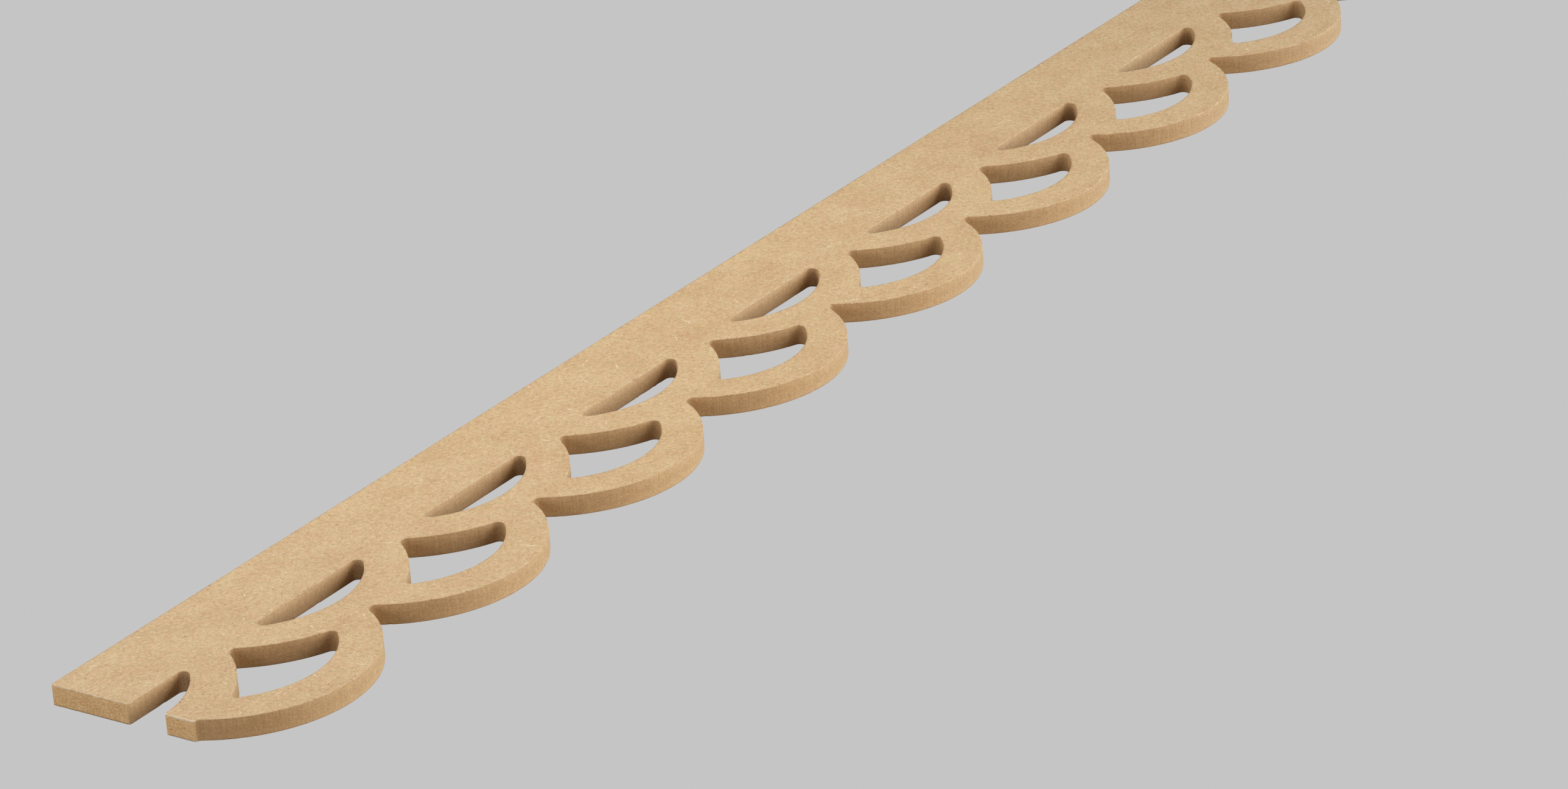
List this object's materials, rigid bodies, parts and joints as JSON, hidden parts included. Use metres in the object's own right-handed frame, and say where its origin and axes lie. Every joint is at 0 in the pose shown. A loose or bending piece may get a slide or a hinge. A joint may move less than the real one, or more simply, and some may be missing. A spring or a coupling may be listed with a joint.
{
  "type": "frieze moulding",
  "caption": "Flat pierced frieze moulding in raw fibreboard, with a straight top edge, two staggered rows of lapped ring openings and a scalloped lower edge.",
  "frame": {"origin": "middle of the strip's footprint, on the plane of its underside", "axes": "+X along the strip, +Y across it towards the straight edge, +Z out of its face"},
  "size_m": [1, 0.0936, 0.008],
  "materials": {
    "fibreboard": "raw and unsealed, matt, routed edges darker than the sanded faces"
  },
  "bodies": {
    "root": {"frieze_strip": "fibreboard"}
  },
  "joints": []
}
